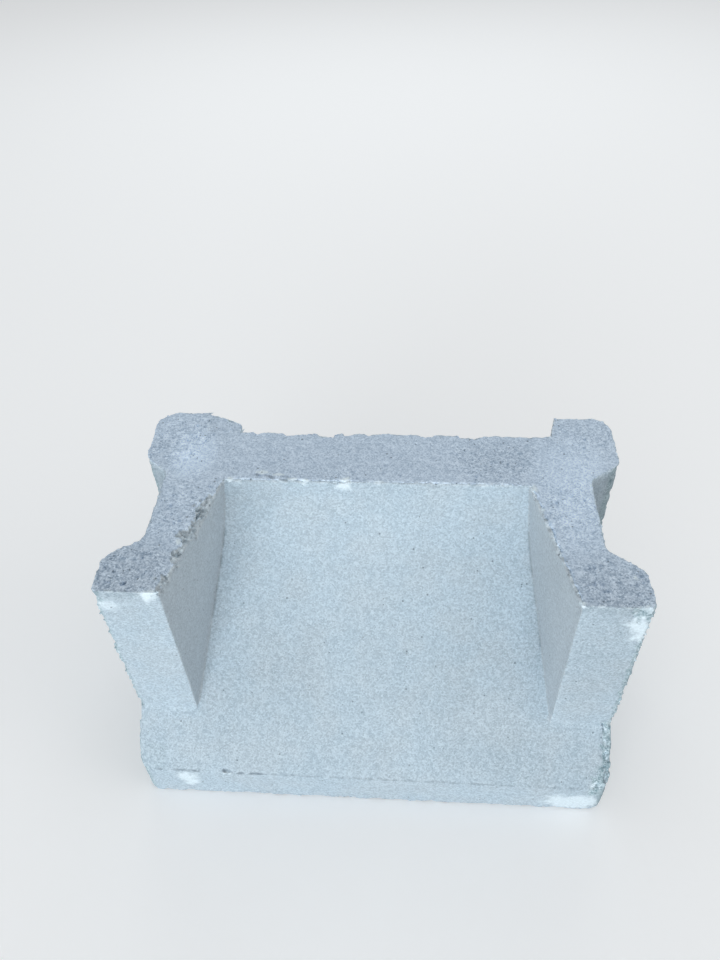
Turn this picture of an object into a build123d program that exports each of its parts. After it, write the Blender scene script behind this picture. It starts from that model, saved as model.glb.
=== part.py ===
from build123d import *
import os
from math import acos, cos, degrees, radians, sin, sqrt, tan

# Louvre block cast in one piece of concrete, in millimetres.
# +X runs along the block, +Y to its rear, +Z up. The origin is at the bottom, in the middle
# of the overall length and depth. Two cheeks carry a sloping shelf. The shelf ends in a sill
# at the front and in a level strip at the top of the rear, and the block is hollow under it.

# Overall sizes
block_length = 254.0
block_depth = 152.4
block_height = 152.4

# Shelf, sill and top strip
sill_projection = 23.5
lip_height = 24.0
slope_angle = 47.7
shelf_thickness = 38.0
shelf_curve_radius = 78.5
strip_setback = 16.0

# Cheeks, from their front faces to their rear faces
front_cheek_thickness = 32.4
rear_cheek_thickness = 30.0
draft_per_mm = 0.21

# Mortar key in the outside of each cheek, between a flat land in front and one behind
front_land_width = 20.8
rear_land_width = 37.6
key_depth = 16.7
key_flank_run = 11.8

# Rounded edges
front_corner_radius = 3.0
rear_corner_radius = 10.0
key_mouth_radius = 9.0
key_base_radius = 7.0
lip_edge_radius = 1.5
sill_corner_radius = 8.0

# How far a cutting shape runs past the face that it opens
cut_overrun = 20.0

# Places along Y, front to rear
lip_y = -block_depth / 2
cheek_front_y = lip_y + sill_projection
key_front_y = cheek_front_y + front_land_width
cheek_rear_y = block_depth / 2
key_rear_y = cheek_rear_y - rear_land_width
strip_rear_y = cheek_rear_y - strip_setback

# The shelf's section: a straight slope from the lip, then a curve that steepens to the top.
# Its underside is the same line moved in by the thickness, so the two arcs share a centre.
# The lower arc meets the strip's rear edge, and that fixes how long the straight run is.
half_length = block_length / 2
slope = radians(slope_angle)
up_slope = Vector(0, cos(slope), sin(slope))
out_of_shelf = Vector(0, -sin(slope), cos(slope))
lip_top = Vector(0, lip_y, lip_height)
under_radius = shelf_curve_radius + shelf_thickness
strip_rear = Vector(0, strip_rear_y, block_height)
under_lip = lip_top - out_of_shelf * shelf_thickness
along = (strip_rear - under_lip).dot(up_slope)
above = (strip_rear - under_lip).dot(out_of_shelf)
straight_run = along - sqrt(2 * under_radius * above - above**2)
upper_start = lip_top + up_slope * straight_run
lower_start = under_lip + up_slope * straight_run
centre_above_top = (upper_start + out_of_shelf * shelf_curve_radius).Z - block_height
upper_sweep = degrees(acos(centre_above_top / shelf_curve_radius)) - slope_angle
lower_sweep = degrees(acos(centre_above_top / under_radius)) - slope_angle
sill_root_z = lip_height + sill_projection * tan(slope)
hollow_front_y = lower_start.Y - lower_start.Z / tan(slope)

# The inner faces of the cheeks draw in from each end towards the shelf
cavity_mouth_half = half_length - front_cheek_thickness
hollow_mouth_half = half_length - rear_cheek_thickness


def tapered_half(mouth_half, distance):
    """Half width of a tapered opening at a distance from its mouth, less than 0 outside it."""
    return mouth_half - draft_per_mm * distance


# Space over the shelf, open to the front and to the top
with BuildPart() as cavity:
    with BuildSketch(Plane.YZ):
        with BuildLine():
            foot = lip_top - up_slope * cut_overrun
            Line((foot.Y, foot.Z), (upper_start.Y, upper_start.Z))
            rise = JernArc(
                start=(upper_start.Y, upper_start.Z),
                tangent=(cos(slope), sin(slope)),
                radius=shelf_curve_radius,
                arc_size=upper_sweep,
            )
            Polyline(
                rise @ 1,
                rise @ 1 + Vector(0, cut_overrun),
                (foot.Y, block_height + cut_overrun),
                (foot.Y, foot.Z),
            )
        make_face()
    extrude(amount=half_length, both=True)
    with BuildSketch():
        with BuildLine():
            outside = tapered_half(cavity_mouth_half, -cut_overrun)
            inside = tapered_half(cavity_mouth_half, cheek_rear_y - cheek_front_y)
            Polyline(
                (-outside, cheek_front_y - cut_overrun),
                (outside, cheek_front_y - cut_overrun),
                (inside, cheek_rear_y),
                (-inside, cheek_rear_y),
                close=True,
            )
        make_face()
    extrude(amount=block_height + cut_overrun, mode=Mode.INTERSECT)

# Space under the shelf, open to the rear and to the bottom
with BuildPart() as hollow:
    with BuildSketch(Plane.YZ):
        with BuildLine():
            toe = lower_start - up_slope * ((lower_start.Z + cut_overrun) / sin(slope))
            Line((toe.Y, toe.Z), (lower_start.Y, lower_start.Z))
            back = JernArc(
                start=(lower_start.Y, lower_start.Z),
                tangent=(cos(slope), sin(slope)),
                radius=under_radius,
                arc_size=lower_sweep,
            )
            Polyline(
                back @ 1,
                back @ 1 + Vector(0, cut_overrun),
                (cheek_rear_y + cut_overrun, block_height + cut_overrun),
                (cheek_rear_y + cut_overrun, toe.Z),
                (toe.Y, toe.Z),
            )
        make_face()
    extrude(amount=half_length, both=True)
    with BuildSketch(Plane.XY.offset(-cut_overrun)):
        with BuildLine():
            outside = tapered_half(hollow_mouth_half, -cut_overrun)
            inside = tapered_half(hollow_mouth_half, cheek_rear_y - hollow_front_y)
            Polyline(
                (-outside, cheek_rear_y + cut_overrun),
                (outside, cheek_rear_y + cut_overrun),
                (inside, hollow_front_y),
                (-inside, hollow_front_y),
                close=True,
            )
        make_face()
    extrude(amount=block_height + 2 * cut_overrun, mode=Mode.INTERSECT)

# Sill in front of the cheeks, with its top in line with the slope and its corners rounded
with BuildPart() as sill:
    with BuildSketch(Plane.YZ) as sill_section:
        with BuildLine():
            Polyline(
                (lip_y, 0),
                (lip_y, lip_height),
                (cheek_front_y, sill_root_z),
                (cheek_front_y + front_corner_radius, sill_root_z),
                (cheek_front_y + front_corner_radius, 0),
                close=True,
            )
        make_face()
        lip_edge = sill_section.vertices().group_by(Axis.X)[0].sort_by(Axis.Y)[-1]
        fillet(lip_edge, lip_edge_radius)
    extrude(amount=half_length, both=True)
    with BuildSketch() as sill_plan:
        with Locations((0, (lip_y + cheek_front_y + front_corner_radius) / 2)):
            Rectangle(block_length, sill_projection + front_corner_radius)
        fillet(sill_plan.vertices().group_by(Axis.Y)[0], sill_corner_radius)
    extrude(amount=block_height, mode=Mode.INTERSECT)

# The block: cheeks with a mortar key in each outer side, less the spaces over and under
# the shelf, which leave the shelf standing between them
with BuildPart() as louvre_block:
    with BuildSketch():
        with BuildLine():
            FilletPolyline(
                (0, cheek_front_y),
                (half_length, cheek_front_y),
                (half_length, key_front_y),
                (half_length - key_depth, key_front_y + key_flank_run),
                (half_length - key_depth, key_rear_y - key_flank_run),
                (half_length, key_rear_y),
                (half_length, cheek_rear_y),
                (0, cheek_rear_y),
                radius=[
                    front_corner_radius,
                    key_mouth_radius,
                    key_base_radius,
                    key_base_radius,
                    key_mouth_radius,
                    rear_corner_radius,
                ],
            )
            mirror(about=Plane.YZ)
        make_face()
    extrude(amount=block_height)
    add(sill.part)
    add(cavity.part, mode=Mode.SUBTRACT)
    add(hollow.part, mode=Mode.SUBTRACT)

louvre_block.part.label = "louvre_block"
os.makedirs("parts", exist_ok=True)
export_step(louvre_block.part, "parts/louvre_block.step")
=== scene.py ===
# Looks of the concrete louvre block: smooth cast faces, a rough struck top, worn and chipped
# arrises, scuffs and open pores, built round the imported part. Places in the dictionaries are in
# millimetres in the block's own frame: +X to its right, +Y to its rear, +Z up.
import math

import bmesh
import bpy
from mathutils import Matrix, Vector, noise
from mathutils.bvhtree import BVHTree
from mathutils.kdtree import KDTree


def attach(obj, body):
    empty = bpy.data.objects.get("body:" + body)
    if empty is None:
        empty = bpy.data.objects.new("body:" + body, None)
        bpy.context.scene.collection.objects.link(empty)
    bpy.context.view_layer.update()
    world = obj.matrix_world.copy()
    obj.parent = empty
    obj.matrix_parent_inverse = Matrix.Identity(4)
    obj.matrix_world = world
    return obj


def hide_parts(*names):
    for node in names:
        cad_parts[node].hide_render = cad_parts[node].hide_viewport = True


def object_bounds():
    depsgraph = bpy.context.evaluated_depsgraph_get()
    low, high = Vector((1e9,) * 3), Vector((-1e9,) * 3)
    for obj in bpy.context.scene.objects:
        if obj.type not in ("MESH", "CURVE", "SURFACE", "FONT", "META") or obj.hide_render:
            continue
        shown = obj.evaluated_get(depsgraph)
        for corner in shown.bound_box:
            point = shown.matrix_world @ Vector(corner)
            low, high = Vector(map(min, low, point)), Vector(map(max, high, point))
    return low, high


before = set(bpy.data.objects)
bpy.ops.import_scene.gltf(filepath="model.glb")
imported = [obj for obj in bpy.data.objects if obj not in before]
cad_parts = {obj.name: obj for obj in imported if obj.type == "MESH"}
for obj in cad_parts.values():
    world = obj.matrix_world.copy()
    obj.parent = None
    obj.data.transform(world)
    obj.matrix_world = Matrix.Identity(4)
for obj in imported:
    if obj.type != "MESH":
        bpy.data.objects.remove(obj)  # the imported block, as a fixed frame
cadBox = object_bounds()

mm = 0.001  # metres in a millimetre

louvreBlock = {
    "node": "louvre_block",
    "slot": "concrete",
    "noiseSeed": 1,  # for the noise, so that each run gives the same block
    "remeshDepth": 8,  # octree levels of the skin, 8 is a point about every 1.1 mm
    "quickDepth": 7,
    "weldGap": 0.001,  # mm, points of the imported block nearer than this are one
    "fineBand": 3.5,  # mm on each side of an arris where the faces are half as large
    "fineLine": 2.0,  # on each side of an inner corner or a crack
    "fineTop": 0.1,  # and under the top
    "levelNormal": 0.98,  # a face whose normal rises more than this is level
    "topBand": 0.5,  # mm, and it is in the top if it lies this near to it
    "triangles": 192000,  # kept in the finished skin
    # What the material reads at each point of the skin
    "masks": ("struck", "open", "rough", "inner", "crumbs", "corners", "scuffed", "soiledAndShaded", "toned"),
    "creaseAngle": 50,  # degrees, a sharper bend than this shades as a crease
    "arrisAngle": 28,  # degrees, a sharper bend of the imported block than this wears
    "warp": 0.18,  # mm, slow waviness of every face
    "warpLevel": 0.4,  # its middle, as a share of that, below the nominal face
    # Lumps of each kind of face: what sets them apart, then the height and size of each
    "reliefs": {
        "cast": (21.0, [(0.05, 3.2)]),
        "open": (6.0, [(2.0, 6.5), (1.5, 3.0), (0.5, 1.5)]),
        "struck": (1.0, [(0.25, 11.0), (0.28, 4.6), (0.30, 2.3)]),
    },
    "openLevel": 0.15,  # an open face has hollows below this height and is even above it
    "struckDrop": 0.30,  # mm, the top lies this far under its nominal height
    # Open pits of the top: spacing, share of the places that have one, radius, depth and shift
    "struckPits": [(2.4, 0.32, 0.75, 0.8, 0.0), (5.5, 0.30, 1.2, 1.1, 5.0)],
    "leastPit": 0.5,  # the smallest pit, as a share of that radius
    "topShare": 0.55,  # how rough the even parts of the top are
    "topEdge": 2.5,  # and how fast the rougher parts set in
    "sideShare": 1.0,  # how open the outer sides are
    "sideStart": 120.0,  # mm from the middle where that begins
    "sideFade": 3.0,  # and how soon it is full
    "placeEdge": (1.6, 3.0),  # how far the edge of an open place strays, and the size of its lumps

    # Ragged noise by its use: strength, size of the lumps, and a shift that sets it apart
    "ripples": {
        "warp": (1.0, 38.0, 20.0),
        "topPlaces": (0.3, 7.0, 4.0),  # edges of the rougher parts of the top
        "bevelWidth": (1.1, 9.0, 9.0),  # a broken arris: its width, edge and face
        "bevelEdge": (0.8, 3.0, 10.0),
        "bevelFace": (0.7, 2.2, 18.0),
        "crumbs": (2.4, 1.5, 16.0),
        "bites": (0.25, 1.6, 11.0),
        "chipShape": (0.35, 3.6, 13.0),
        "chipFace": (0.25, 1.5, 12.0),
        "crackPath": (0.7, 3.0, 14.0),
        "crackStretch": (1.6, 5.0, 15.0),
        "junctionStretch": (1.6, 5.0, 19.0),
        "sunk": (0.4, 2.4, 23.0),  # edges of what looks broken
        "brokenGrains": (2.4, 1.8, 22.0),  # pale grains in it
        "paleGrains": (2.2, 1.8, 16.0),  # and along an arris
        "paleStretch": (1.8, 8.0, 24.0),
        "scuffs": (0.5, 2.0, 17.0),
    },
    "seeds": {"pitThere": 7.3, "pitSize": 3.1, "biteSize": 2.3},

    # Rougher parts of the top: centre, half sizes and how rough
    "roughTops": [
        ((-114, -42, 152), (27, 25, 9), 1.2),  # left front bulge
        ((-98, 0, 152), (17, 30, 9), 1.0),
        ((-108, 54, 152), (22, 26, 9), 1.25),  # left rear corner
        ((113, -41, 152), (27, 25, 9), 1.1),  # right front bulge
        ((98, 4, 152), (17, 34, 9), 1.0),
        ((112, 60, 152), (24, 20, 9), 0.95),
        ((62, 40, 152), (34, 22, 9), 1.0),  # right part of the strip
        ((-30, 27, 152), (52, 7, 9), 0.8),  # front edge of the strip
    ],

    # Rough, open places in the cast faces: low corner, high corner and how open
    "openPlaces": [
        ((122.0, -74.5, 22), (127.5, -50, 54), 0.95),  # right end of the sill
        ((116.5, -78, 17), (123.5, -71.5, 30), 0.75),
        ((-127.0, -77, 24), (-112, -66, 36), 0.10),  # left part of the sill
        ((117.5, -54, 144), (127.5, -49, 153), 0.8),  # upper corner of the right cheek
        ((124.2, -54, 52), (127.5, -49, 144), 0.5),  # and its outer corner
        ((-127.5, -54, 143), (-123.0, -49, 153), 0.4),
    ],

    # Wear of the arrises by place, and the first row that fits counts: low corner, high corner, the width
    # broken off, the size and spacing of the bites, the height of the crumbs and how pale, with pale grains
    # and a painted highlight
    "arrises": [
        ((-78, 55, 150), (90, 64, 153), (0.9, 2.6, 4.0, 0.5, 0.3)),  # rear edge of the strip
        ((-84, 18, 150), (84, 26, 153), (1.2, 2.2, 3.4, 0.9, 1.0)),  # front edge of the strip
        ((-97, -54, 150), (-72, -42, 153), (3.0, 1.5, 3.2, 1.0, 0.5)),  # left cheek's inner rim
        ((-97, -42, 150), (-72, -35, 153), (1.6, 1.5, 3.2, 1.0, 1.0)),
        ((-97, -35, 150), (-72, -6, 153), (4.6, 1.5, 3.2, 1.0, 0.5)),
        ((-97, -6, 150), (-72, 3, 153), (5.0, 1.5, 3.2, 1.0, 0.5)),
        ((-97, 3, 150), (-72, 11, 153), (3.6, 1.5, 3.2, 1.0, 0.5)),
        ((-97, 11, 150), (-72, 24, 153), (1.8, 1.5, 3.2, 1.0, 0.5)),
        ((72, -50, 150), (97, 24, 153), (1.8, 1.8, 3.2, 1.0, 0.7)),  # right cheek's inner rim
        ((-128, -58, 44), (-118, -46, 58), (0.2, 0.6, 6.0, 0.1, 0.2)),  # left end of the cheek's foot
        ((-125, -54, 150), (125, -50, 153), (0.6, 1.4, 3.6, 0.6, 1.0)),  # front rims
        ((-128, -54, 150), (128, 78, 153), (0.7, 2.4, 4.0, 0.6, 0.6)),  # outer rims
        ((-96, -54, 40), (96, -51, 150), (0.5, 1.0, 6.0, 0.1, 0.2)),  # edges of the cavity
        ((-128, -54, 48), (128, -50, 150), (0.4, 2.1, 3.4, 1.0, 0.8)),  # outer front corners
        ((-128, -80, -1), (128, -70, 1), (1.4, 3.0, 5.0, 0.3, 0.3)),  # foot of the lip
        ((-128, -78, -1), (128, 78, 1), (1.2, 3.6, 6.0, 0.2, 0.2)),  # other edges of the bed
        ((-128, -80, 20), (128, -70, 28), (0.4, 1.0, 5.0, 0.2, 0.2)),  # top of the lip
        ((-200, -200, -200), (200, 200, 200), (0.8, 2.4, 6.0, 0.2, 0.2)),
    ],
    # Rounded corners that crumble as the arrises do
    "softCorners": [
        ((-126.2, -51.9, 60), (-126.2, -51.9, 152)),
        ((126.2, -51.9, 60), (126.2, -51.9, 152)),
    ],
    "arrisReach": 9.0,  # mm, an arris wears nothing further away than this
    "bevelDepth": 0.7,  # how far inwards its ragged bevel goes for each mm of width
    "crumbLevel": 0.35,  # how much of the noise for the crumbs is left out
    "crumbReach": 2.5,  # mm
    # A bite is a ball: its smallest radius as a share of its size, then how near to the arris and how
    # far outside it the middle has to lie, as shares of the radius
    "leastBite": 0.45,
    "biteNear": 0.95,
    "biteOutside": 0.25,
    "hollowMiddle": 0.05,  # a point this near the middle of a hollow stays, as a share of its size
    "chipReach": 1.4,  # how far a ragged chip may reach, as a share of its largest half size
    "roundReach": 1.2,  # how far the round of an inner corner reaches
    # The cheeks' front faces run into the sill without a line: low corner and high corner
    "softFoot": ((-128, -64, 38), (128, -50, 62)),
    "softSide": 0.6,  # what faces more to one side than this stays
    "softEnds": ((-127, -52, 50), (127, -52, 50)),  # the cheeks' outer corners fade out round these
    "softEndReach": 8.0,
    "softPasses": 40,
    # Dark lines of dirt and painted shade where the cheeks meet the shelf: low corner, high corner, width
    # and darkness
    "junctions": [
        ((-95, -18, 88), (-75, 14, 130), 1.3, 1.0),
        ((75, -26, 80), (95, 14, 130), 1.2, 1.0),
        ((-95, -50, 56), (-75, 24, 152), 1.1, 0.35),
        ((75, -50, 56), (95, 24, 152), 1.1, 0.35),
    ],
    "junctionLevel": 0.75,  # their middle strength and the least, where they are broken
    "junctionLeast": 0.3,

    # Mortar left in the rear corner behind the left cheek: its top outline and its toe, where it
    # shows, how far it stands off the block to count and how open it is
    "mortar": {
        "outline": [
            (-99.2, 75.9), (-95.9, 75.2), (-88.0, 72.0), (-81.0, 68.5), (-76.8, 66.6),
            (-75.3, 64.0), (-76.4, 57.0), (-99.2, 57.0),
        ],
        "top": 152.4,
        "toe": (-93.5, 49.0, 108.0),
        "place": ((-100, 45, 100), (-72, 78, 153)),
        "gap": 0.3,
        "share": 0.6,
    },

    # What has broken off: centre and half sizes of each hollow
    "chips": [
        ((-99.2, -55.4, 155.2), (5.0, 3.4, 4.6)),  # front rim of the left cheek
        ((93.0, -54.5, 155.0), (3.6, 4.0, 4.0)),  # inner corner of the right cheek
        ((126.5, -54.0, 154.5), (4.0, 3.0, 3.6)),  # crumbled corner of the right cheek
        ((122.8, -34.4, 154.2), (3.0, 2.6, 3.2)),  # rim of the right front bulge
        ((86.8, -20.5, 154.2), (2.6, 7.0, 2.8)),  # inner rim of the right cheek
        ((84.0, 1.0, 154.0), (2.0, 4.0, 2.6)),
        ((90.8, -34.0, 154.2), (2.6, 3.6, 2.8)),
        ((-28.7, 62.0, 153.0), (6.0, 7.4, 4.0)),  # rear edge of the strip
        ((-17.0, 62.0, 153.0), (4.0, 5.0, 3.0)),
        ((-45.0, 62.0, 153.0), (12.0, 4.8, 3.4)),
        ((-66.4, 62.0, 153.0), (3.0, 3.4, 3.0)),
        ((50.0, 62.0, 153.0), (8.0, 5.2, 3.4)),
        ((28.0, 62.0, 153.0), (5.0, 4.4, 3.0)),
        ((-123.0, -76.5, 25.0), (4.0, 2.6, 2.8)),  # left end of the sill
        ((-77.5, -77.0, 24.6), (3.4, 1.8, 1.5)),  # top of the lip
        ((-70.0, -77.2, -1.5), (14.0, 3.0, 3.4)),  # foot of the lip
        ((30.0, -77.2, -1.5), (9.0, 3.0, 3.2)),
        ((-35.0, -77.2, -1.5), (7.0, 2.6, 3.0)),
    ],

    # Places that lie off the nominal shape: centre, half sizes, and how far the middle moves
    "swells": [
        ((-127.0, 48.0, 90.0), (14.0, 34.0, 160.0), (2.6, 0.0, 0.0)),  # slimmer left rear bulge
        ((-124.0, 76.0, 90.0), (10.0, 8.0, 160.0), (1.5, -1.5, 0.0)),
    ],

    # Single open pits: place, radius and depth
    "pits": [
        ((-112.9, -47.6, 152.4), 1.2, 1.5),
        ((-112.0, -47.2, 152.4), 1.0, 1.3),
        ((-124.1, -47.8, 152.4), 0.8, 1.0),
        ((-120.4, -46.8, 152.4), 0.8, 1.0),
        ((-118.9, -46.9, 152.4), 0.7, 1.0),
        ((-118.9, -40.8, 152.4), 0.7, 0.9),
        ((103.2, -30.4, 152.4), 1.0, 1.1),
        ((101.7, -39.7, 152.4), 1.1, 1.2),
        ((105.3, -39.6, 152.4), 1.0, 1.1),
        ((105.0, -44.0, 152.4), 1.0, 1.0),
        ((107.3, -43.4, 152.4), 1.2, 1.3),
        ((4.8, 35.0, 152.4), 0.8, 0.8),
        ((12.9, 27.7, 152.4), 0.8, 0.8),
        ((-93.7, -31.4, 152.4), 0.8, 1.0),  # along the left cheek's inner rim
        ((-91.3, -25.1, 152.4), 0.8, 1.0),
        ((-92.0, -4.8, 152.4), 0.8, 0.9),
        ((-88.7, -8.1, 152.4), 0.9, 0.9),
        ((-90.6, 2.8, 152.4), 0.8, 0.9),
        ((-87.8, 6.4, 152.4), 1.0, 1.0),
        ((-84.8, 6.5, 152.4), 0.9, 0.9),
        ((-84.8, 16.6, 152.4), 0.9, 0.9),
        ((84.8, -1.1, 152.4), 0.9, 1.0),  # and the right cheek's
        ((87.1, -17.7, 152.4), 1.0, 1.0),
        ((91.2, -32.6, 152.4), 1.0, 1.0),
        ((-88.6, -24.1, 126.1), 0.9, 0.6),  # inner face of the left cheek
        ((-87.5, -18.9, 132.5), 0.7, 0.5),
        ((125.1, -62.9, 38.7), 1.0, 1.0),  # right end of the sill
        ((125.6, -65.3, 35.9), 1.0, 1.0),
        ((122.8, -67.6, 33.5), 0.9, 0.9),
        ((125.8, -73.6, 26.8), 1.1, 1.0),
        ((119.5, -75.9, 24.3), 1.3, 1.2),
        ((118.4, -74.2, 26.2), 0.9, 0.8),
        ((120.5, -74.6, 25.7), 1.0, 1.0),
    ],

    # Thin cracks and dark seams, with dirt and painted shade in them: the points that each runs through,
    # its width, depth and darkness
    "cracks": [
        ([(-62.5, 26.2, 152.4), (-55.9, 25.6, 152.4), (-49.2, 22.9, 152.4), (-46.0, 22.0, 152.4)],
         0.9, 0.9, 1.0),
        ([(-50.0, 26.0, 152.4), (-44.2, 24.5, 152.4), (-33.8, 25.4, 152.4)], 0.7, 0.6, 0.6),
        ([(-118.0, -75.5, 24.7), (-108.0, -75.5, 24.7), (-94.0, -75.6, 24.6)], 0.8, 0.5, 0.7),
        ([(-79.8, -75.3, 25.0), (-77.0, -75.5, 24.7), (-74.0, -75.9, 24.2)], 1.3, 1.2, 1.1),
        ([(-73.4, -76.0, 23.8), (-70.0, -75.9, 24.1), (-59.0, -75.8, 24.2)], 0.8, 0.7, 0.9),
        ([(-59.0, -75.8, 24.2), (-10.0, -75.8, 24.2), (112.0, -75.8, 24.2)], 0.7, 0.2, 0.45),
        ([(124.2, -57.0, 45.0), (124.0, -66.0, 35.2), (124.2, -73.0, 27.6)], 0.9, 0.9, 0.9),
    ],
    "crackSide": 0.8,  # mm, how far to its sides a crack may stray
    "crackLevel": 0.6,  # how strong it is on average
    "crackPaint": 2.6,  # the dirt and painted shade in it are even where its depth is over 1 divided by this

    # Pale places where the skin is scuffed or freshly broken: centre, half sizes, strength
    "scuffs": [
        ((121.9, -52.7, 137.0), (5.0, 4.0, 8.8), 0.9),
        ((124.8, -52.4, 130.0), (2.4, 4.0, 4.5), 0.8),
        ((-121.0, -52.7, 141.4), (4.6, 3.0, 4.6), 0.6),
        ((-99.2, -53.2, 151.4), (6.4, 2.4, 1.9), 1.0),
        ((-100.4, -53.0, 148.8), (3.4, 3.0, 3.4), 1.0),
        ((-94.8, -52.0, 151.8), (1.6, 2.4, 2.4), 1.0),
        ((109.0, -76.2, 9.0), (14.5, 3.0, 9.0), 0.85),
        ((118.5, -75.0, 9.0), (5.0, 4.0, 6.0), 0.8),
        ((-101.6, -76.2, 18.0), (6.4, 3.0, 4.6), 0.85),
        ((-99.8, -76.2, 13.5), (4.4, 3.0, 6.0), 0.85),
        ((-79.6, -76.2, 23.6), (1.2, 1.4, 1.4), 0.9),
        ((-76.4, -76.4, 23.0), (1.4, 1.4, 1.2), 0.9),
        ((-15.4, 22.4, 151.2), (3.4, 3.6, 4.4), 1.0),
        ((-37.2, 22.3, 152.0), (3.4, 1.6, 2.2), 1.0),
        ((-59.5, 28.0, 152.2), (3.6, 1.2, 1.4), 0.9),
        ((-50.5, 26.4, 152.2), (3.4, 1.2, 1.4), 0.9),
        ((-43.0, 23.6, 152.2), (2.6, 1.2, 1.4), 0.8),
        ((-76.0, 22.6, 152.0), (2.6, 1.6, 2.0), 1.0),
        ((-70.5, 22.2, 151.5), (2.2, 1.2, 2.0), 0.6),
        ((2.0, 22.4, 152.0), (3.4, 1.2, 1.6), 0.7),
        ((30.0, 22.2, 152.0), (2.4, 1.2, 1.4), 0.6),
        ((55.0, 22.2, 152.0), (3.0, 1.2, 1.4), 0.6),
        ((93.6, -51.4, 152.0), (2.6, 3.0, 2.6), 1.0),
        ((80.4, 19.6, 152.4), (2.4, 3.0, 1.6), 0.9),
        ((83.6, 6.0, 152.4), (1.2, 2.6, 1.6), 0.9),
        ((-92.6, -21.5, 152.4), (1.5, 1.8, 1.5), 0.9),
        ((-93.6, -29.6, 152.4), (1.2, 1.4, 1.2), 0.8),
        ((120.9, -35.6, 152.4), (1.4, 1.4, 1.6), 0.9),
        ((122.5, -52.5, 150.5), (3.5, 2.6, 2.2), 0.6),
    ],

    # Slow changes of tone: centre, half sizes, and the share by which the middle is paler or darker. The
    # rows on the shelf, the sill and the right cheek are painted light and shade
    "tones": [
        ((-112.0, -42.0, 152.4), (30.0, 26.0, 8.0), -0.18),  # front bulges, more open than the rest
        ((112.0, -42.0, 152.4), (32.0, 26.0, 8.0), -0.14),
        ((100.0, 20.0, 152.4), (24.0, 50.0, 8.0), 0.17),
        ((-99.0, 42.0, 152.4), (15.0, 22.0, 8.0), 0.26),
        ((-112.0, 62.0, 152.4), (20.0, 16.0, 8.0), 0.06),
        ((62.0, 40.0, 152.4), (26.0, 18.0, 8.0), -0.06),  # right part of the strip
        ((112.0, -52.7, 110.0), (30.0, 8.0, 70.0), -0.11),  # right cheek, front and inside, painted shade
        ((86.0, -20.0, 110.0), (9.0, 50.0, 70.0), -0.08),
        # painted shade on the right part of the shelf
        ((60.0, -40.0, 70.0), (40.0, 60.0, 60.0), -0.03),
        ((-108.0, -52.7, 140.0), (26.0, 8.0, 26.0), -0.05),  # left cheek, front
        ((-60.0, -40.0, 70.0), (42.0, 60.0, 60.0), -0.05),  # painted shade on the left part of the shelf
        ((0.0, 0.0, 105.0), (75.0, 50.0, 60.0), 0.07),  # painted light on its middle and upper part
        ((90.0, -66.0, 34.0), (60.0, 20.0, 24.0), -0.07),  # painted shade on the right part of the sill
    ],

    # What shows as broken: how far a point is sunk, mm, where that starts and over how much it grows
    "fallenTop": (0.7, 0.3),
    "brokenFace": (0.4, 0.5),
    "wideWear": 2.0,  # mm, the top falls away beside arrises broken more than this
    # painted shade on the parts of the top that have fallen away
    "fallenShade": -0.08,
    "brokenRough": 0.9,
    "grainLevel": 0.1,  # how many pale grains broken faces have
    "openPaint": 1.8,  # the colour of an open place grows faster than its roughness by this
    "innerHalf": 98,  # mm from the middle, the cheeks' inner faces lie within it
    "paleReach": 2.0,  # mm from an arris
    "paleLevel": 0.45,  # how much of an arris is pale with grains and painted highlight, in its grains and in its stretches
    "stretchLevel": 0.75,
    "cornerShadePlace": (-50, 20),  # painted shade in inner corners, behind this y and over this z
    "cornerShadeReach": 10.0,
    "scuffReach": 1.3,  # how far a ragged scuff may reach, as a share of its half size
    "scuffEdge": 4.0,  # and how fast it sets in
    "pitReach": 1.2,  # how far the dirt and painted shade of a pit reach, as a share of its radius
    "pitSoilAndShade": 0.9,
}
highCorner = cadBox[1] / mm


def clamped(value, low=0.0, high=1.0):
    return min(high, max(low, value))


def inBox(point, low, high):
    return all(low[i] <= point[i] <= high[i] for i in range(3))


def reachInside(point, centre, halfSizes):
    # 1 at the centre of an ellipsoid, 0 on its skin and less outside it
    return 1.0 - math.sqrt(sum(((point[i] - centre[i]) / halfSizes[i]) ** 2 for i in range(3)))


def distanceToLine(point, places):
    nearest = math.inf
    for start, end in zip(places, places[1:]):
        start, run = Vector(start), Vector(end) - Vector(start)
        share = clamped((point - start).dot(run) / run.length_squared)
        nearest = min(nearest, (point - start - run * share).length)
    return nearest


def ripple(point, size, shift):
    # smooth noise, mostly from -0.6 to 0.6, whose lumps are about as wide as size
    return noise.noise(point / size + Vector((shift, shift * 0.7, -shift)))


def rippleFor(point, use):
    strength, size, shift = louvreBlock["ripples"][use]
    return strength * ripple(point, size, shift)


def relief(point, kind):
    shift, rows = louvreBlock["reliefs"][kind]
    return sum(height * ripple(point, size, shift + i) for i, (height, size) in enumerate(rows))


def chance(place, use):
    # the same random number from 0 to 1 each time for a place
    return 0.5 + 0.5 * noise.cell(place * louvreBlock["seeds"][use])


def pointsAlong(start, end, step=0.7):
    start, end = Vector(start), Vector(end)
    count = max(1, math.ceil((end - start).length / step))
    return [start.lerp(end, i / count) for i in range(count + 1)]


def pointTree(points):
    tree = KDTree(len(points))
    for i, point in enumerate(points):
        tree.insert(point, i)
    tree.balance()
    return tree


def withModifier(mesh, kind, **settings):
    # a new mesh with one modifier applied, and the old mesh gone
    holder = bpy.data.objects.new("holder", mesh)
    bpy.context.scene.collection.objects.link(holder)
    modifier = holder.modifiers.new("change", kind)
    for key, value in settings.items():
        setattr(modifier, key, value)
    graph = bpy.context.evaluated_depsgraph_get()
    changed = bpy.data.meshes.new_from_object(holder.evaluated_get(graph))
    bpy.data.objects.remove(holder)
    bpy.data.meshes.remove(mesh)
    return changed


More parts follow.
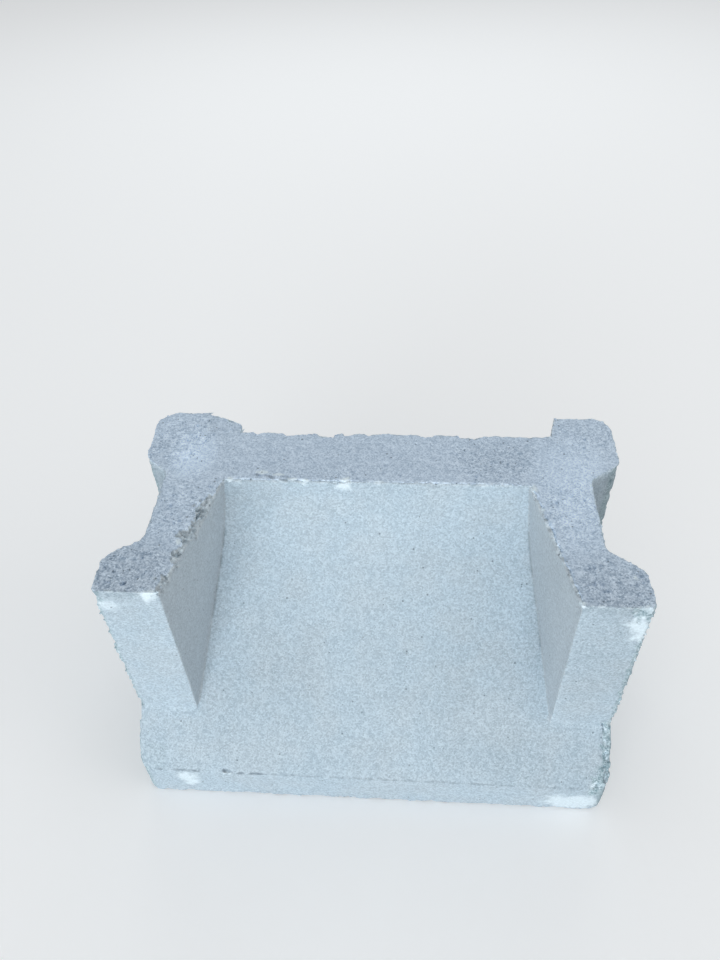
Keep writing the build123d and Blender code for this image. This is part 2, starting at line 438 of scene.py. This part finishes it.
def mortarPiece():
    mortar = louvreBlock["mortar"]
    shape = bmesh.new()
    for x, y in mortar["outline"]:
        shape.verts.new((x, y, mortar["top"]))
    shape.verts.new(mortar["toe"])
    bmesh.ops.convex_hull(shape, input=shape.verts)
    mesh = bpy.data.meshes.new("mortar")
    shape.to_mesh(mesh)
    piece = bpy.data.objects.new("mortar", mesh)
    bpy.context.scene.collection.objects.link(piece)
    return piece


def closedShape():
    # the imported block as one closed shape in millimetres, with the mortar that clings to it
    shape = bmesh.new()
    shape.from_mesh(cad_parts[louvreBlock["node"]].data)
    bmesh.ops.remove_doubles(shape, verts=shape.verts, dist=louvreBlock["weldGap"] * mm)
    bmesh.ops.scale(shape, vec=(1 / mm, 1 / mm, 1 / mm), verts=shape.verts)
    shape.normal_update()
    packed = BVHTree.FromBMesh(shape)
    mesh = bpy.data.meshes.new("closedShape")
    shape.to_mesh(mesh)
    mortar = mortarPiece()
    mesh = withModifier(mesh, "BOOLEAN", operation="UNION", solver="EXACT", object=mortar)
    bpy.data.objects.remove(mortar)
    shape = bmesh.new()
    shape.from_mesh(mesh)
    bmesh.ops.triangulate(shape, faces=shape.faces)
    shape.normal_update()
    return shape, mesh, packed


def isTop(face):
    high = face.calc_center_median().z > highCorner.z - louvreBlock["topBand"]
    return high and face.normal.z > louvreBlock["levelNormal"]


def readSurface(shape, packed):
    # what the wear looks up: faces, arrises that stick out, corners that turn in, and cracks
    arrises, outward, corners, steepness = [], [], [], []
    for edge in shape.edges:
        turn = edge.calc_face_angle_signed(0.0)
        if abs(turn) < math.radians(louvreBlock["arrisAngle"]):
            continue
        direction = (edge.link_faces[0].normal + edge.link_faces[1].normal).normalized()
        places = pointsAlong(*(vert.co for vert in edge.verts))
        if turn > 0:
            arrises += places
            outward += [direction] * len(places)
        else:
            corners += places
            steepness += [math.tan(-turn / 2)] * len(places)
    for start, end in louvreBlock["softCorners"]:
        places = pointsAlong(start, end)
        arrises += places
        outward += [Vector((math.copysign(1.0, start[0]), -1.0, 0.0)).normalized()] * len(places)
    rows = louvreBlock["arrises"]
    return {
        "packed": packed,
        "faces": BVHTree.FromBMesh(shape),
        "tops": [isTop(face) for face in shape.faces],
        "arrises": pointTree(arrises),
        "outward": outward,
        "wears": [
            next(wear for low, high, wear in rows if inBox(place, low, high)) for place in arrises
        ],
        "corners": pointTree(corners),
        "steepness": steepness,
        "cracks": pointTree([
            place for places, *rest in louvreBlock["cracks"]
            for ends in zip(places, places[1:]) for place in pointsAlong(*ends)
        ]),
        "bites": {},
    }


def openShare(surface, point, normal):
    # how rough and open a cast face is: its outer sides are, some places of their own and mortar
    mortar = louvreBlock["mortar"]
    if inBox(point, *mortar["place"]):
        place, outward = surface["packed"].find_nearest(point)[:2]
        if (point - place).dot(outward) > mortar["gap"]:
            return mortar["share"]
    ends = clamped((abs(point.x) - louvreBlock["sideStart"]) / louvreBlock["sideFade"])
    share = louvreBlock["sideShare"] * ends * max(0.0, normal.x * math.copysign(1.0, point.x))
    strays, size = louvreBlock["placeEdge"]
    ragged = point + strays * noise.noise_vector(point / size)
    for low, high, strength in louvreBlock["openPlaces"]:
        if inBox(ragged, low, high):
            share = max(share, strength)
    return share


def topShare(point):
    # how rough a place of the top is
    share = louvreBlock["topShare"]
    ragged = rippleFor(point, "topPlaces")
    for centre, halfSizes, strength in louvreBlock["roughTops"]:
        inside = reachInside(point, centre, halfSizes) + ragged
        share = max(share, strength * min(1.0, inside * louvreBlock["topEdge"]))
    return share


def isFine(surface, point):
    if point.z > highCorner.z - louvreBlock["fineTop"]:
        return True
    if surface["arrises"].find(point)[2] < louvreBlock["fineBand"]:
        return True
    return min(surface[name].find(point)[2] for name in ("corners", "cracks")) < louvreBlock["fineLine"]


def smoothPoints(skin, verts, **axes):
    for i in range(louvreBlock["softPasses"]):
        bmesh.ops.smooth_vert(skin, verts=verts, factor=0.5, **axes)


def softenFoot(skin):
    # the cheeks' front faces run into the sill, then the foot of their outer corners fades out
    foot = [
        vert for vert in skin.verts
        if inBox(vert.co, *louvreBlock["softFoot"]) and abs(vert.normal.x) < louvreBlock["softSide"]
    ]
    smoothPoints(skin, foot, use_axis_y=True, use_axis_z=True)
    reach = louvreBlock["softEndReach"]
    ends = [
        vert for vert in skin.verts
        if any((vert.co - Vector(end)).length < reach for end in louvreBlock["softEnds"])
    ]
    smoothPoints(skin, ends, use_axis_x=True, use_axis_y=True, use_axis_z=True)


def evenSkin(mesh, surface):
    # small faces all over that keep the shape's arrises, and smaller ones on the top and near them
    depth = louvreBlock["remeshDepth"]
    mesh = withModifier(
        mesh, "REMESH", mode="SHARP", octree_depth=depth, scale=0.99, sharpness=1.0,
        use_remove_disconnected=False,
    )
    skin = bmesh.new()
    skin.from_mesh(mesh)
    bpy.data.meshes.remove(mesh)
    fine = [isFine(surface, vert.co) for vert in skin.verts]
    edges = [edge for edge in skin.edges if all(fine[vert.index] for vert in edge.verts)]
    bmesh.ops.subdivide_edges(skin, edges=edges, cuts=1, use_grid_fill=True)
    skin.verts.ensure_lookup_table()
    skin.normal_update()
    softenFoot(skin)
    skin.normal_update()
    return skin


def pitDepth(point, spacing, share, radius, depth, shift):
    # round hollows at scattered places, some big and some small
    distances, places = noise.voronoi(point / spacing + Vector((shift, shift, shift)))
    if chance(places[0], "pitThere") > share:
        return 0.0
    least = louvreBlock["leastPit"]
    size = radius * (least + (1.0 - least) * chance(places[0], "pitSize"))
    inside = 1.0 - (distances[0] * spacing / size) ** 2
    return depth * math.sqrt(inside) if inside > 0 else 0.0


def struckHeight(point):
    share = topShare(point)
    height = share * relief(point, "struck") - louvreBlock["struckDrop"]
    for spacing, places, radius, depth, shift in louvreBlock["struckPits"]:
        height -= share * pitDepth(point, spacing, places * share, radius, depth, shift)
    return height


def openHeight(point, share):
    # an even skin with ragged hollows in it
    return share * min(0.0, relief(point, "open") - louvreBlock["openLevel"])


def arrisLoss(point, gap, width):
    # how far inwards a point moves to reach the ragged bevel of a broken arris
    gone = width * (1.0 + rippleFor(point, "bevelWidth") + rippleFor(point, "bevelEdge"))
    return max(0.0, louvreBlock["bevelDepth"] * (gone - gap) * (1.0 + rippleFor(point, "bevelFace")))


def crumbHeight(point, gap, height):
    # grains that stand proud along an arris
    grains = max(0.0, rippleFor(point, "crumbs") - louvreBlock["crumbLevel"])
    return height * grains * max(0.0, 1.0 - gap / louvreBlock["crumbReach"])


def biteAt(surface, centre, size):
    # the radius of the ball bitten out around a centre, or 0 where there is none
    key = tuple(round(value, 2) for value in centre)
    if key not in surface["bites"]:
        least = louvreBlock["leastBite"]
        radius = size * (least + (1.0 - least) * chance(centre, "biteSize"))
        place, index, gap = surface["arrises"].find(centre)
        outside = (centre - place).dot(surface["outward"][index])
        bites = gap < louvreBlock["biteNear"] * radius and outside > louvreBlock["biteOutside"] * radius
        surface["bites"][key] = radius if bites else 0.0
    return surface["bites"][key]


def pushedOut(point, centre, halfSizes, rough):
    # how far a point inside an ellipsoid moves to reach its skin
    away = [(point[i] - centre[i]) / halfSizes[i] for i in range(3)]
    length = math.sqrt(sum(value * value for value in away))
    if length > rough or length < louvreBlock["hollowMiddle"]:
        return Vector()
    return Vector([away[i] * halfSizes[i] * (rough / length - 1.0) for i in range(3)])


def biteMove(surface, point, size, spacing):
    best = Vector()
    distances, places = noise.voronoi(point / spacing)
    for gap, place in zip(distances, places):
        if gap * spacing > size:
            continue
        centre = place * spacing
        radius = biteAt(surface, centre, size)
        if radius:
            move = pushedOut(point, centre, (radius, radius, radius), 1.0 + rippleFor(point, "bites"))
            if move.length > best.length:
                best = move
    return best


def wearSkin(skin, surface):
    points = [vert.co.copy() for vert in skin.verts]
    moves = []
    reach = louvreBlock["roundReach"]
    for vert, point in zip(skin.verts, points):
        normal, index = surface["faces"].find_nearest(point)[1:3]
        height = louvreBlock["warp"] * (rippleFor(point, "warp") - louvreBlock["warpLevel"])
        if surface["tops"][index]:
            height += struckHeight(point)
        else:
            height += relief(point, "cast")
            rough = openShare(surface, point, normal)
            if rough > 0:
                height += openHeight(point, rough)
        index, gap = surface["corners"].find(point)[1:]
        if gap < reach and not inBox(point, *louvreBlock["softFoot"]):
            # a parabola that runs into both faces
            steepness = surface["steepness"][index]
            height += 0.5 * steepness * reach * (1.0 - gap / reach) ** 2 * vert.calc_shell_factor()
        index, gap = surface["arrises"].find(point)[1:]
        move = Vector()
        if gap < louvreBlock["arrisReach"]:
            width, size, spacing, crumbs = surface["wears"][index][:4]
            height += crumbHeight(point, gap, crumbs)
            move = surface["outward"][index] * -arrisLoss(point, gap, width)
            if gap < size:
                move += biteMove(surface, point + move, size, spacing)
        moves.append(move + vert.normal * height)

    tree = pointTree(points)
    for centre, halfSizes in louvreBlock["chips"]:
        for point, i, gap in tree.find_range(centre, max(halfSizes) * louvreBlock["chipReach"]):
            rough = 1.0 + rippleFor(point, "chipShape") + rippleFor(point, "chipFace")
            moves[i] += pushedOut(point + moves[i], centre, halfSizes, rough)
    for centre, radius, depth in louvreBlock["pits"]:
        for point, i, gap in tree.find_range(centre, radius):
            moves[i] -= skin.verts[i].normal * depth * math.sqrt(1.0 - (gap / radius) ** 2)
    for places, width, depth, soilAndShade in louvreBlock["cracks"]:
        for i in crackPoints(tree, places, width):
            moves[i] -= skin.verts[i].normal * depth * crackShare(points[i], places, width)
    for centre, halfSizes, move in louvreBlock["swells"]:
        for point, i, gap in tree.find_range(centre, max(halfSizes)):
            inside = max(0.0, reachInside(point, centre, halfSizes))
            moves[i] += Vector(move) * inside * (2.0 - inside)
    for vert, point, move in zip(skin.verts, points, moves):
        vert.co = point + move


def crackPoints(tree, places, width):
    # the skin's points near a crack
    found = set()
    reach = width + louvreBlock["crackSide"]
    for start, end in zip(places, places[1:]):
        for point in pointsAlong(start, end):
            found.update(i for place, i, gap in tree.find_range(point, reach))
    return sorted(found)


def crackShare(point, places, width):
    # 1 in the middle of a crack and 0 at its sides, and weaker in some stretches
    across = distanceToLine(point, places) + rippleFor(point, "crackPath")
    stretch = clamped(louvreBlock["crackLevel"] + rippleFor(point, "crackStretch"))
    return max(0.0, 1.0 - across / width) * stretch


def junctionSoilAndShade(place, gap):
    # a thin dark line of dirt and painted shade where a cheek meets the shelf, broken in some stretches
    for low, high, width, soilAndShade in louvreBlock["junctions"]:
        if inBox(place, low, high):
            stretch = louvreBlock["junctionLevel"] + rippleFor(place, "junctionStretch")
            return soilAndShade * clamped(stretch, louvreBlock["junctionLeast"]) * max(0.0, 1.0 - gap / width)
    return 0.0


def sunkShare(sunk, rows):
    start, run = louvreBlock[rows]
    return clamped((sunk - start) / run)


def paleGrainAndHighlight(point, gap, strength):
    # pale grains and a painted highlight along an arris, in some stretches more than in others
    pale = strength * max(0.0, 1.0 - gap / louvreBlock["paleReach"])
    pale *= clamped(louvreBlock["paleLevel"] + rippleFor(point, "paleGrains"))
    return pale * clamped(louvreBlock["stretchLevel"] + rippleFor(point, "paleStretch"))


def pointMasks(surface, point):
    # what the nearest face, arris and inner corner give a point
    place, normal, index = surface["faces"].find_nearest(point)[:3]
    sunk = (place - point).dot(normal) + rippleFor(point, "sunk")
    line, gap = surface["arrises"].find(point)[1:]
    width, size, spacing, crumbs, strength = surface["wears"][line]
    near = gap < louvreBlock["arrisReach"]
    grains = clamped(louvreBlock["grainLevel"] + rippleFor(point, "brokenGrains"))
    masks = {}
    if surface["tops"][index]:
        # parts of the top that have fallen away take the inner faces' colour with its painted shade tint,
        # and are darkened with painted shade
        fallen = sunkShare(sunk, "fallenTop") if near and width > louvreBlock["wideWear"] else 0.0
        masks["struck"] = 1.0 - fallen
        masks["inner"] = fallen
        masks["rough"] = topShare(point)
        masks["toned"] = louvreBlock["fallenShade"] * fallen
        masks["crumbs"] = fallen * grains
    else:
        broken = sunkShare(sunk, "brokenFace") if near else 0.0
        share = openShare(surface, point, normal)
        masks["open"] = min(1.0, louvreBlock["openPaint"] * share)
        masks["rough"] = max(share, louvreBlock["brokenRough"] * broken)
        masks["crumbs"] = broken * grains
        # the cheeks' inner faces get the warm tint of painted shade
        if abs(point.x) < louvreBlock["innerHalf"]:
            masks["inner"] = max(0.0, -normal.x * math.copysign(1.0, point.x))
    masks["crumbs"] = max(masks["crumbs"], paleGrainAndHighlight(point, gap, strength))
    # painted shade in the inner corners, only behind and above a given place
    place, index, gap = surface["corners"].find(point)
    leastY, leastZ = louvreBlock["cornerShadePlace"]
    if place.y > leastY and place.z > leastZ:
        masks["corners"] = max(0.0, 1.0 - gap / louvreBlock["cornerShadeReach"])
    # a dark line of dirt and painted shade where the cheeks meet the shelf
    masks["soiledAndShaded"] = junctionSoilAndShade(place, gap)
    return masks


def paintPlaces(masks, points):
    # scuffs, dirt and painted shade in cracks and pits, and changes of tone, some of them painted light and
    # shade, at their own places
    tree = pointTree(points)
    for centre, halfSizes, strength in louvreBlock["scuffs"]:
        for point, i, gap in tree.find_range(centre, max(halfSizes) * louvreBlock["scuffReach"]):
            ragged = reachInside(point, centre, halfSizes) + rippleFor(point, "scuffs")
            share = strength * min(1.0, ragged * louvreBlock["scuffEdge"])
            masks["scuffed"][i] = max(masks["scuffed"][i], share)
    for places, width, depth, soilAndShade in louvreBlock["cracks"]:
        for i in crackPoints(tree, places, width):
            share = min(1.0, louvreBlock["crackPaint"] * crackShare(points[i], places, width))
            masks["soiledAndShaded"][i] = max(masks["soiledAndShaded"][i], soilAndShade * share)
    for centre, radius, depth in louvreBlock["pits"]:
        reach = radius * louvreBlock["pitReach"]
        for point, i, gap in tree.find_range(centre, reach):
            soilAndShade = louvreBlock["pitSoilAndShade"] - louvreBlock["pitSoilAndShade"] * gap / reach
            masks["soiledAndShaded"][i] = max(masks["soiledAndShaded"][i], soilAndShade)
    for centre, halfSizes, share in louvreBlock["tones"]:
        for point, i, gap in tree.find_range(centre, max(halfSizes)):
            inside = max(0.0, reachInside(point, centre, halfSizes))
            masks["toned"][i] += share * inside * (2.0 - inside)


def paintMasks(mesh, surface):
    # what the material reads, one value for each point of the mesh
    points = [vert.co / mm for vert in mesh.vertices]
    masks = {name: [0.0] * len(points) for name in louvreBlock["masks"]}
    for i, point in enumerate(points):
        for name, value in pointMasks(surface, point).items():
            masks[name][i] = value
    paintPlaces(masks, points)
    for name, values in masks.items():
        mesh.attributes.new(name, "FLOAT", "POINT").data.foreach_set("value", values)


def buildBlock():
    noise.seed_set(louvreBlock["noiseSeed"])
    shape, mesh, packed = closedShape()
    surface = readSurface(shape, packed)
    skin = evenSkin(mesh, surface)
    print("even skin:", len(skin.verts), "points")
    wearSkin(skin, surface)
    bmesh.ops.scale(skin, vec=(mm, mm, mm), verts=skin.verts)
    mesh = bpy.data.meshes.new("wornSkin")
    skin.to_mesh(mesh)
    ratio = min(1.0, louvreBlock["triangles"] / (2 * len(skin.faces)))
    mesh = withModifier(mesh, "DECIMATE", ratio=ratio)
    mesh.name = "louvreBlock"
    for vert in mesh.vertices:
        vert.co = [min(max(vert.co[i], cadBox[0][i]), cadBox[1][i]) for i in range(3)]
    mesh.shade_smooth()
    mesh.set_sharp_from_angle(angle=math.radians(louvreBlock["creaseAngle"]))
    print("worn skin:", len(mesh.polygons), "faces")
    paintMasks(mesh, surface)
    piece = bpy.data.objects.new("louvreBlock", mesh)
    bpy.context.scene.collection.objects.link(piece)
    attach(piece, "root")
    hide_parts(louvreBlock["node"])
    return piece


concrete = {
    "castColour": (0.490, 0.607, 0.696),  # the cement skin of the cast faces
    "warmCloudAndShadeColour": (0.520, 0.600, 0.658),  # that skin where it is warmer in slow clouds, and the warm tint of painted shade on the inner faces
    "struckColour": (0.592, 0.727, 0.878),  # the top
    "openColour": (0.410, 0.535, 0.595),  # rough places in the cast faces
    "swingColour": (0.560, 0.604, 0.630),  # what a light grain adds to those and a dark one takes
    "paleColour": (0.780, 0.910, 0.990),  # scuffs, fresh chips and the painted highlight along arrises
    "shadeAndSoilColour": (0.13, 0.17, 0.21),  # painted shade in pores, and dirt and painted shade in cracks, pits and inner corners
    "fineGrain": 0.7,  # mm, sand in the skin
    "coarseGrain": 1.5,
    "cloud": 34.0,  # mm, slow changes of tone
    "cloudDetail": 2.0,
    "patch": 3.2,  # mm, and quick ones
    "tint": 20.4,  # mm, clouds of the warmer skin: what counts of them, and its strength
    "tintRange": (0.4, 0.62),
    "tintShare": 0.35,
    # How strongly each shows on an even face and on a rough one
    "fineTone": (0.36, 0.62),
    "coarseTone": (0.07, 0.24),
    "cloudTone": (0.12, 0.20),
    "patchTone": (0.05, 0.40),
    "poreShare": (0.05, 0.24),
    "bumpHeight": (0.16, 0.24),  # mm
    "bumpStrength": 0.8,
    "coarseRise": 0.6,  # what each size of grain adds to that height
    "fineRise": 0.5,
    "poreSpacing": 2.6,  # mm
    "poreRadius": 0.75,
    "leastPore": 0.4,  # the smallest pore, as a share of that radius
    "poreEdge": 0.5,  # how soon a pore is full dark, as a share of its depth
    "cornerShade": -0.06,  # painted shade in inner corners
    "crumbAndHighlightPale": 0.8,  # how pale the crumbs and the painted highlight along arrises are next to a scuff
    "scuffCalm": 0.5,  # how much fainter the grain is on scuffs and on inner faces
    "innerCalm": 0.3,
    "darkShare": 0.7,
    "roughness": 0.93,
    "gloss": 0.3,
}


def addNode(tree, kind, inputs=None, **settings):
    made = tree.nodes.new(kind)
    for key, value in settings.items():
        setattr(made, key, value)
    for key, value in (inputs or {}).items():
        if isinstance(value, bpy.types.NodeSocket):
            tree.links.new(value, made.inputs[key])
        else:
            made.inputs[key].default_value = value
    return made


def maths(tree, operation, *values, clamp=False):
    inputs = dict(enumerate(values))
    return addNode(tree, "ShaderNodeMath", inputs, operation=operation, use_clamp=clamp).outputs[0]


def scaled(tree, vector, factor):
    return addNode(tree, "ShaderNodeVectorMath", {0: vector, "Scale": factor}, operation="SCALE").outputs[0]


def mixColour(tree, share, first, second):
    # sockets 6 and 7 of the node are its two colours, and 2 is the mixed one
    colours = {
        i: (*colour, 1) if isinstance(colour, tuple) else colour for i, colour in ((6, first), (7, second))
    }
    return addNode(tree, "ShaderNodeMix", {0: share, **colours}, data_type="RGBA").outputs[2]


def newGroup(name, inputs, outputs):
    # a shader node group with a Place in millimetres and number inputs, and its two end nodes
    tree = bpy.data.node_groups.new(name, "ShaderNodeTree")
    tree.interface.new_socket("Place", in_out="INPUT", socket_type="NodeSocketVector")
    for label in inputs:
        tree.interface.new_socket(label, in_out="INPUT", socket_type="NodeSocketFloat")
    for label in outputs:
        tree.interface.new_socket(label, in_out="OUTPUT", socket_type="NodeSocketFloat")
    return tree, tree.nodes.new("NodeGroupInput").outputs, tree.nodes.new("NodeGroupOutput").inputs


def grainGroup():
    # sand: a random tone for each grain, and the round of its top
    tree, given, result = newGroup("sandGrains", ("Size",), ("Tone", "Height"))
    place = scaled(tree, given["Place"], maths(tree, "DIVIDE", 1.0, given["Size"]))
    cells = addNode(tree, "ShaderNodeTexVoronoi", {"Vector": place, "Scale": 1.0})
    tone = addNode(tree, "ShaderNodeSeparateColor", {0: cells.outputs["Color"]}).outputs[0]
    tree.links.new(tone, result["Tone"])
    tree.links.new(maths(tree, "SUBTRACT", 1.0, cells.outputs["Distance"]), result["Height"])
    return tree


def poreGroup():
    # round pores at scattered places: 1 inside a pore
    tree, given, result = newGroup("airPores", ("Spacing", "Share", "Radius"), ("Mask",))
    place = scaled(tree, given["Place"], maths(tree, "DIVIDE", 1.0, given["Spacing"]))
    cells = addNode(tree, "ShaderNodeTexVoronoi", {"Vector": place, "Scale": 1.0})
    chances = addNode(tree, "ShaderNodeSeparateColor", {0: cells.outputs["Color"]}).outputs
    there = maths(tree, "LESS_THAN", chances[0], given["Share"])
    least = concrete["leastPore"]
    spread = maths(tree, "MULTIPLY_ADD", chances[1], 1.0 - least, least)
    radius = maths(tree, "MULTIPLY", spread, given["Radius"])
    away = maths(tree, "MULTIPLY", cells.outputs["Distance"], given["Spacing"])
    depth = maths(tree, "SUBTRACT", 1.0, maths(tree, "DIVIDE", away, radius), clamp=True)
    edge = {"Value": depth, "From Max": concrete["poreEdge"]}
    soft = addNode(tree, "ShaderNodeMapRange", edge, interpolation_type="SMOOTHSTEP")
    tree.links.new(maths(tree, "MULTIPLY", soft.outputs[0], there), result["Mask"])
    return tree


def cloudGroup():
    # slow changes of tone from 0 to 1
    tree, given, result = newGroup("clouds", ("Size",), ("Tone",))
    count = maths(tree, "DIVIDE", 1.0, given["Size"])
    looks = {"Vector": given["Place"], "Scale": count, "Detail": concrete["cloudDetail"]}
    cloud = addNode(tree, "ShaderNodeTexNoise", looks)
    tree.links.new(cloud.outputs[0], result["Tone"])
    return tree


def concreteMaterial():
    material = bpy.data.materials.new("castConcrete")
    material.use_nodes = True
    tree = material.node_tree
    shader = tree.nodes["Principled BSDF"].inputs
    grains, pores, clouds = grainGroup(), poreGroup(), cloudGroup()
    place = scaled(tree, addNode(tree, "ShaderNodeTexCoord").outputs["Object"], 1 / mm)
    mask = {
        name: addNode(tree, "ShaderNodeAttribute", attribute_name=name).outputs["Fac"]
        for name in louvreBlock["masks"]
    }

    def graded(name):
        # a value that goes from its even number to its rough number
        even, rough = concrete[name]
        return maths(tree, "MULTIPLY_ADD", mask["rough"], rough - even, even)

    def effect(group, **inputs):
        return addNode(tree, "ShaderNodeGroup", {"Place": place, **inputs}, node_tree=group).outputs

    fine = effect(grains, Size=concrete["fineGrain"])
    coarse = effect(grains, Size=concrete["coarseGrain"])
    cloud = effect(clouds, Size=concrete["cloud"])
    tint = effect(clouds, Size=concrete["tint"])
    patch = effect(clouds, Size=concrete["patch"])
    pore = effect(
        pores, Spacing=concrete["poreSpacing"], Share=graded("poreShare"), Radius=concrete["poreRadius"]
    )

    # ground: the cast skin, warmer in clouds and with the warm tint of painted shade on the inner faces,
    # then the top and the open places
    low, high = concrete["tintRange"]
    cloudy = {"Value": tint["Tone"], "From Min": low, "From Max": high, "To Max": concrete["tintShare"]}
    warmthAndShade = addNode(tree, "ShaderNodeMapRange", cloudy).outputs[0]
    warmthAndShade = maths(tree, "ADD", warmthAndShade, mask["inner"], clamp=True)
    skin = mixColour(tree, warmthAndShade, concrete["castColour"], concrete["warmCloudAndShadeColour"])
    ground = mixColour(tree, mask["open"], skin, concrete["openColour"])
    ground = mixColour(tree, mask["struck"], ground, concrete["struckColour"])

    # places darker or paler, some of them painted light and shade, painted shade in inner corners, pale
    # crumbs and a painted highlight along the arrises, and scuffs
    cornerShadeShare = maths(tree, "POWER", mask["corners"], 2.0)
    tone = maths(tree, "MULTIPLY_ADD", cornerShadeShare, concrete["cornerShade"], mask["toned"])
    toned = scaled(tree, ground, maths(tree, "ADD", tone, 1.0))
    crumbs = maths(tree, "MULTIPLY", mask["crumbs"], concrete["crumbAndHighlightPale"])
    lightness = maths(tree, "MAXIMUM", crumbs, mask["scuffed"], clamp=True)
    pale = mixColour(tree, lightness, toned, concrete["paleColour"])

    # grains, patches and clouds, fainter on scuffs and on the inner faces
    swing = 0.0
    tones = {"fineTone": fine, "coarseTone": coarse, "cloudTone": cloud, "patchTone": patch}
    for name, value in tones.items():
        part = maths(tree, "MULTIPLY", maths(tree, "SUBTRACT", value["Tone"], 0.5), graded(name))
        swing = maths(tree, "ADD", part, swing)
    calm = maths(tree, "MULTIPLY", mask["inner"], concrete["innerCalm"])
    calm = maths(tree, "MULTIPLY_ADD", mask["scuffed"], concrete["scuffCalm"], calm)
    swing = maths(tree, "MULTIPLY", swing, maths(tree, "SUBTRACT", 1.0, calm))
    parts = {0: swing, 1: concrete["swingColour"], 2: pale}
    grainy = addNode(tree, "ShaderNodeVectorMath", parts, operation="MULTIPLY_ADD").outputs[0]

    # painted shade in pores, and dirt and painted shade in cracks, pits and where the cheeks meet the shelf
    darkness = maths(tree, "MAXIMUM", pore["Mask"], mask["soiledAndShaded"])
    darkness = maths(tree, "MULTIPLY", darkness, concrete["darkShare"], clamp=True)
    dark = mixColour(tree, darkness, grainy, concrete["shadeAndSoilColour"])
    tree.links.new(dark, shader["Base Color"])

    height = maths(tree, "MULTIPLY", fine["Tone"], concrete["fineRise"])
    height = maths(tree, "MULTIPLY_ADD", coarse["Height"], concrete["coarseRise"], height)
    height = maths(tree, "SUBTRACT", height, pore["Mask"])
    height = maths(tree, "MULTIPLY", height, graded("bumpHeight"))
    strength = concrete["bumpStrength"]
    bump = addNode(tree, "ShaderNodeBump", {"Height": height, "Strength": strength, "Distance": mm})
    tree.links.new(bump.outputs[0], shader["Normal"])
    shader["Roughness"].default_value = concrete["roughness"]
    shader["Specular IOR Level"].default_value = concrete["gloss"]
    return material


studio = {
    "floorSize": 6.0,  # metres
    "floorColour": (0.93, 0.95, 0.965),  # as the camera sees it
    "bounceColour": (0.42, 0.42, 0.42),  # as it lights the block
    "floorGlow": 0.15,
    "floorRoughness": 0.9,
    "worldStrength": 0.52,  # as it lights the block
    "seenStrength": 1.0,  # as the camera sees it, and 1 is white
    # Soft lamps: where all of them point, then place, width and height, power and colour of each
    "lampAim": (0.0, 0.0, 0.08),
    "lamps": {
        "frontLamp": ((-0.45, -1.6, 0.2), (1.2, 0.3), 17.5, (0.95, 0.98, 1.0)),
        "rightLamp": ((1.4, -0.3, 0.8), (1.0, 1.0), 3.0, (1.0, 0.93, 0.88)),
        "rearLamp": ((0.0, 1.3, 1.1), (1.4, 1.0), 4.5, (0.94, 0.98, 1.0)),
    },
}

camera = {
    "place": (18.477, -260.897, 428.692),  # mm
    "turn": 5.245,  # degrees about the vertical, to the left
    "tilt": 45.933,  # degrees up from straight down
    "roll": -2.470,
    "lens": 28.893,  # mm
    "frameHeight": 36.0,  # mm
    "nearest": 10.0,  # mm, what the camera can still see
}


def floorMaterial():
    material = bpy.data.materials.new("paleFloor")
    material.use_nodes = True
    tree = material.node_tree
    shader = tree.nodes["Principled BSDF"].inputs
    seen = addNode(tree, "ShaderNodeLightPath").outputs["Is Camera Ray"]
    colour = mixColour(tree, seen, studio["bounceColour"], studio["floorColour"])
    tree.links.new(colour, shader["Base Color"])
    shader["Emission Color"].default_value = (*studio["floorColour"], 1)
    tree.links.new(maths(tree, "MULTIPLY", seen, studio["floorGlow"]), shader["Emission Strength"])
    shader["Roughness"].default_value = studio["floorRoughness"]
    return material


def buildStudio():
    shape = bmesh.new()
    bmesh.ops.create_grid(shape, x_segments=1, y_segments=1, size=studio["floorSize"] / 2)
    mesh = bpy.data.meshes.new("studioFloor")
    shape.to_mesh(mesh)
    floor = bpy.data.objects.new("studioFloor", mesh)
    bpy.context.scene.collection.objects.link(floor)
    floor.data.materials.append(floorMaterial())

    for name, (place, size, power, colour) in studio["lamps"].items():
        lamp = bpy.data.lights.new(name, "AREA")
        lamp.shape = "RECTANGLE"
        lamp.size, lamp.size_y = size
        lamp.energy = power
        lamp.color = colour
        holder = bpy.data.objects.new(name, lamp)
        bpy.context.scene.collection.objects.link(holder)
        holder.location = place
        aim = Vector(studio["lampAim"]) - holder.location
        holder.rotation_euler = aim.to_track_quat("-Z", "Y").to_euler()

    world = bpy.data.worlds.new("paleRoom")
    bpy.context.scene.world = world
    world.use_nodes = True
    tree = world.node_tree
    seen = addNode(tree, "ShaderNodeLightPath").outputs["Is Camera Ray"]
    strengths = {0: seen, 2: studio["worldStrength"], 3: studio["seenStrength"]}
    strength = addNode(tree, "ShaderNodeMix", strengths).outputs[0]
    tree.nodes["Background"].inputs["Color"].default_value = (1, 1, 1, 1)
    tree.links.new(strength, tree.nodes["Background"].inputs["Strength"])


def placeCamera():
    lens = bpy.data.cameras.new("viewingCamera")
    lens.sensor_fit = "VERTICAL"
    lens.sensor_height = camera["frameHeight"]
    lens.lens = camera["lens"]
    lens.clip_start = camera["nearest"] * mm
    eye = bpy.data.objects.new("viewingCamera", lens)
    bpy.context.scene.collection.objects.link(eye)
    turn = Matrix.Rotation(math.radians(camera["turn"]), 4, "Z")
    tilt = Matrix.Rotation(math.radians(camera["tilt"]), 4, "X")
    roll = Matrix.Rotation(math.radians(camera["roll"]), 4, "Z")
    eye.matrix_world = Matrix.Translation(Vector(camera["place"]) * mm) @ turn @ tilt @ roll
    bpy.context.scene.camera = eye


piece = buildBlock()
piece.data.materials.append(concreteMaterial())
print("block finished")
buildStudio()
placeCamera()
bpy.context.scene.view_settings.view_transform = "Standard"
print("studio and camera set")
